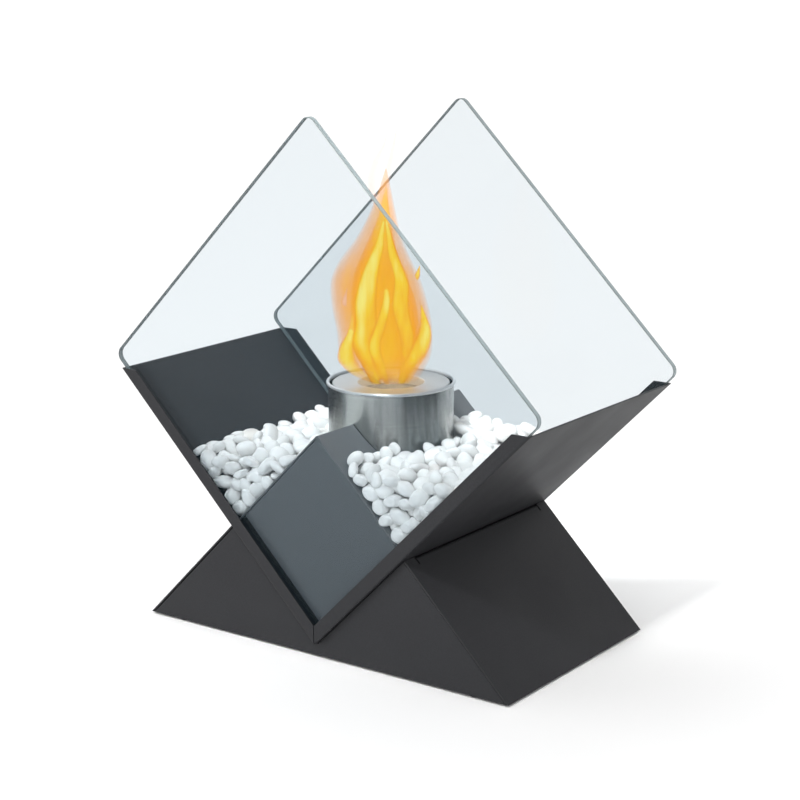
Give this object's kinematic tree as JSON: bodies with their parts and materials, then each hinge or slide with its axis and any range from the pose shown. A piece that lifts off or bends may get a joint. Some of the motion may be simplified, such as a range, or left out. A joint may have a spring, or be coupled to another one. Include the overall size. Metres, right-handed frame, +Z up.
{
  "type": "tabletop bioethanol fireplace",
  "caption": "Diamond shaped tabletop bioethanol fireplace: glass panes stand on a corner in a folded black V trough on a ridged base, with white pebbles round a steel burner.",
  "frame": {"origin": "on the surface the foot pads rest on, under the middle of the object", "axes": "+X to the right along the width of the diamond, +Y from the front pane to the rear pane, +Z up"},
  "size_m": [0.4176, 0.214, 0.4353],
  "materials": {
    "powder_coat": "fine textured black powder coat",
    "clear_glass": "clear tempered glass with polished edges",
    "brushed_steel": "drawn stainless steel, brushed round",
    "matt_steel": "pressed stainless steel, matt",
    "black_steel": "black oxide screws",
    "wool": "soft white ceramic fibre",
    "stone": "smooth tumbled white pebbles",
    "pad": "soft black rubber"
  },
  "bodies": {
    "stand": {"trough": "powder_coat", "base_front_panel": "powder_coat", "base_rear_panel": "powder_coat", "base_right_slope": "powder_coat", "base_left_slope": "powder_coat", "housing_roof": "powder_coat", "housing_front_plate": "powder_coat", "housing_rear_plate": "powder_coat", "burner_shelf": "powder_coat", "pebbles_right": "stone", "pebbles_left": "stone", "screw_front_right": "black_steel", "screw_front_left": "black_steel", "screw_rear_right": "black_steel", "screw_rear_left": "black_steel", "nut_front_right": "brushed_steel", "nut_front_left": "brushed_steel", "nut_rear_right": "brushed_steel", "nut_rear_left": "brushed_steel", "foot_pad_front_right": "pad", "foot_pad_front_left": "pad", "foot_pad_rear_right": "pad", "foot_pad_rear_left": "pad"},
    "front_pane": {"front_glass": "clear_glass"},
    "rear_pane": {"rear_glass": "clear_glass"},
    "burner": {"burner_sleeve": "brushed_steel", "burner_reservoir": "brushed_steel", "burner_cover_ring": "matt_steel", "ceramic_wool": "wool"}
  },
  "joints": [
    {"name": "front_glass_lift", "type": "slide", "parent": "stand", "child": "front_pane", "axis": [0, 0, 1], "range_m": [0, 0.21]},
    {"name": "rear_glass_lift", "type": "slide", "parent": "stand", "child": "rear_pane", "axis": [0, 0, 1], "range_m": [0, 0.21]},
    {"name": "burner_lift", "type": "slide", "parent": "stand", "child": "burner", "axis": [0, 0, 1], "range_m": [0, 0.31]}
  ]
}
